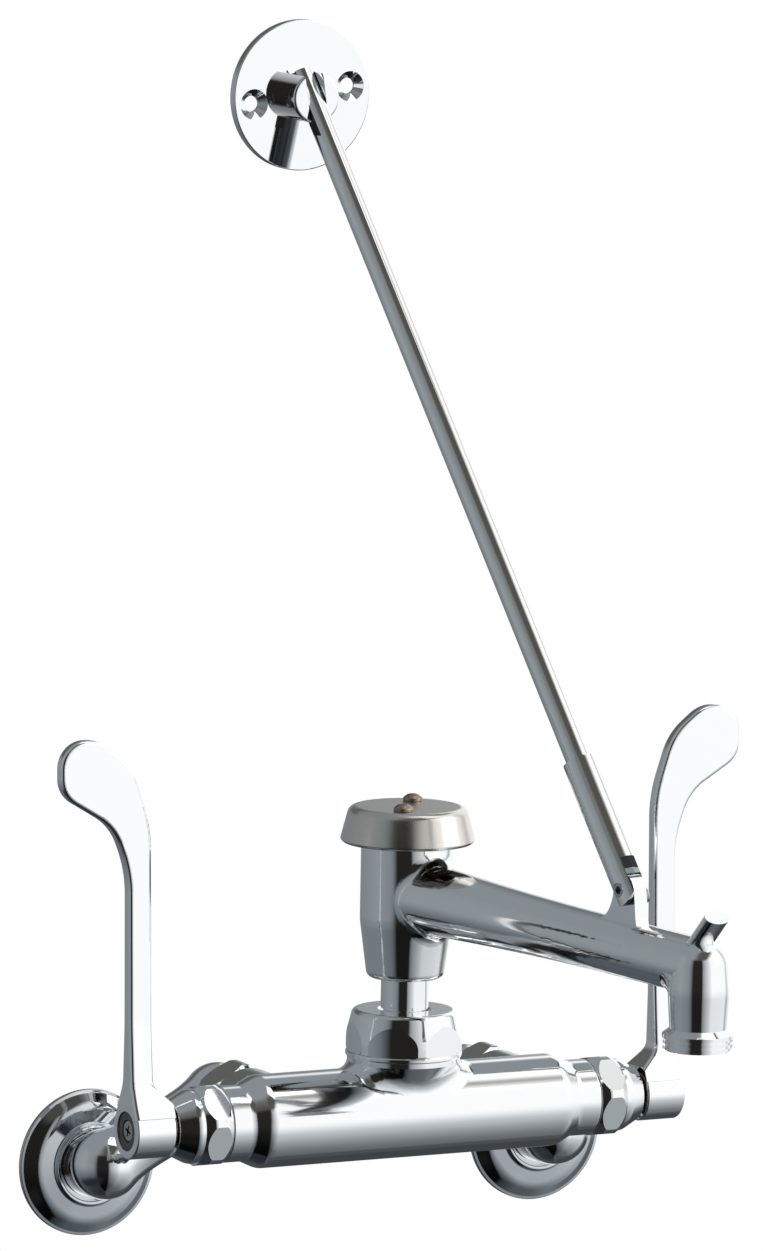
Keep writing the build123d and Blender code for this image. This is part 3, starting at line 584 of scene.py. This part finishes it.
# %% Satin cap
satin_cap = new_finish("satin_cap", (0.70, 0.675, 0.63), (0.20, 0.28), 0.012)
add_relief(satin_cap, 0.0012, 0.000004, stretch=(0.15, 0.15, 4.0), detail=4.0)
finish_parts(["breaker_cap"], satin_cap)

# %% [markdown]
# ## Bronze cap screws
#
# The two screws on the cap are plain bronze, darker and warmer than anything around them, with the
# dull skin that bronze gets in air. Brighter metal shows through in blotches.

# %% Bronze with a dull skin
def cloud_colour(material, dark, pale, size, spread=NOISE_RANGE, **noise_values):
    """Let the colour drift between two tones in blotches of about size metres."""
    tree = material.node_tree
    cloud = object_noise(tree, size, **noise_values)
    dark_at, pale_at = spread
    tone = add_ramp(tree, cloud, [(dark_at, dark), (pale_at, pale)])
    tree.links.new(tone, tree.nodes["Principled BSDF"].inputs["Base Color"])


SKIN_BLOTCH = 1.0 / 900.0
SKIN_SPREAD = (0.35, 0.70)
SKIN_DARK = (0.26, 0.20, 0.155)
SKIN_PALE = (0.46, 0.37, 0.29)

bronze_screw = new_finish("bronze_screw", (0.36, 0.285, 0.225), (0.26, 0.42), 0.0016)
cloud_colour(
    bronze_screw,
    SKIN_DARK,
    SKIN_PALE,
    SKIN_BLOTCH,
    SKIN_SPREAD,
    detail=5.0,
    roughness=0.65,
)
add_relief(bronze_screw, 0.0004, 0.00001)
finish_parts(["cap_screws"], bronze_screw)

# %% [markdown]
# ## Plain steel pins and screws
#
# Pins, the retaining ring and the handle screws are uncoated stainless steel, greyer than the plate
# and turned on a lathe, with a fine grain.

# %% Plain steel
plain_steel = new_finish("plain_steel", (0.46, 0.46, 0.465), (0.20, 0.34), 0.003)
add_relief(plain_steel, 0.0004, 0.000005)
steel_parts = [
    "clevis_pin",
    "bracket_pin",
    "retaining_ring",
    "handle_screw_left",
    "handle_screw_right",
]
finish_parts(steel_parts, plain_steel)

# %% [markdown]
# ## Bare brass inside
#
# The cartridges, and the breaker's seat and bonnet, are turned brass with no plate. The metal is
# yellow, with a slight tarnish in blotches and the fine marks of the tool, for which a fine noise
# stands in. Its tones are also darkened all over by painted shade, since the bonnet sits unlit
# under the cap. The two stems show in the gap behind each handle, which lies in shade, so they get
# a brass of their own that is darkened further by painted shade.

# %% Turned brass
TARNISH_BLOTCH = 1.0 / 220.0
TARNISH_SPREAD = (0.35, 0.65)
# The dark and pale tones are tarnish, plus painted shade that darkens the brass all over, since the
# bonnet sits unlit under the cap.
TARNISH_AND_SHADE_DARK = (0.34, 0.25, 0.13)
TARNISH_AND_SHADE_PALE = (0.52, 0.40, 0.22)

turned_brass = new_finish("turned_brass", (0.72, 0.55, 0.29), (0.22, 0.38), 0.004)
cloud_colour(turned_brass, TARNISH_AND_SHADE_DARK, TARNISH_AND_SHADE_PALE, TARNISH_BLOTCH, TARNISH_SPREAD)
add_relief(turned_brass, 0.0005, 0.000006)
brass_parts = [
    "cartridge_body_left",
    "cartridge_body_right",
    "breaker_seat",
    "breaker_bonnet",
]
finish_parts(brass_parts, turned_brass)

# %% Brass on the stems, darkened with painted shade
# The near-black base colour is painted shade for the gap behind each handle, where the stems show.
stem_brass_painted_shade = new_finish("stem_brass_painted_shade", (0.11, 0.085, 0.055), (0.34, 0.50), 0.003)
add_relief(stem_brass_painted_shade, 0.0005, 0.000006)
finish_parts(["cartridge_stem_left", "cartridge_stem_right"], stem_brass_painted_shade)

# %% [markdown]
# ## Rubber, plastic and ceramic
#
# Washers and O-rings are moulded black rubber with a faint bloom, the index rings are black
# plastic, the poppet is pale plastic, and the discs are lapped ceramic, smooth as glass. None is a
# metal: their own colour counts, and a little of it varies.

# %% Rubber
moulded_rubber = new_finish("moulded_rubber", (0.035, 0.035, 0.035), (0.60, 0.80), 0.003, NO_METAL)
cloud_colour(moulded_rubber, (0.028, 0.028, 0.028), (0.050, 0.050, 0.048), 0.004)
add_relief(moulded_rubber, 0.0006, 0.00001)
rubber_parts = [
    "bonnet_gasket",
    "cartridge_oring_left",
    "cartridge_oring_right",
    "poppet_washer",
    "seat_seal_left",
    "seat_seal_right",
    "stem_orings",
    "union_washer_left",
    "union_washer_right",
]
finish_parts(rubber_parts, moulded_rubber)

# %% Plastic
index_plastic = new_finish("index_plastic", (0.028, 0.028, 0.03), (0.30, 0.45), 0.002, NO_METAL)
cloud_colour(index_plastic, (0.022, 0.022, 0.024), (0.036, 0.036, 0.038), 0.003)
add_relief(index_plastic, 0.0004, 0.000006)
finish_parts(["index_ring_left", "index_ring_right"], index_plastic)

poppet_plastic = new_finish("poppet_plastic", (0.78, 0.77, 0.74), (0.38, 0.52), 0.004, NO_METAL)
cloud_colour(poppet_plastic, (0.74, 0.73, 0.69), (0.82, 0.81, 0.78), 0.006)
add_relief(poppet_plastic, 0.0008, 0.000008)
finish_parts(["poppet"], poppet_plastic)

# %% Ceramic
lapped_ceramic = new_finish("lapped_ceramic", (0.86, 0.84, 0.80), (0.08, 0.16), 0.004, NO_METAL)
cloud_colour(lapped_ceramic, (0.83, 0.81, 0.76), (0.89, 0.87, 0.83), 0.003)
add_relief(lapped_ceramic, 0.0003, 0.000001)
disc_parts = ["fixed_disc_left", "fixed_disc_right", "turning_disc_left", "turning_disc_right"]
finish_parts(disc_parts, lapped_ceramic)

# %% [markdown]
# ## Check the finishes
#
# Every part must have a finish by now, and the parts without one are listed.

# %% List the parts without a finish
def is_bare(part):
    return not part.material_slots or part.material_slots[0].material is None


bare = [name for name, part in nodes.items() if is_bare(part)]
print("parts without a finish:", bare)
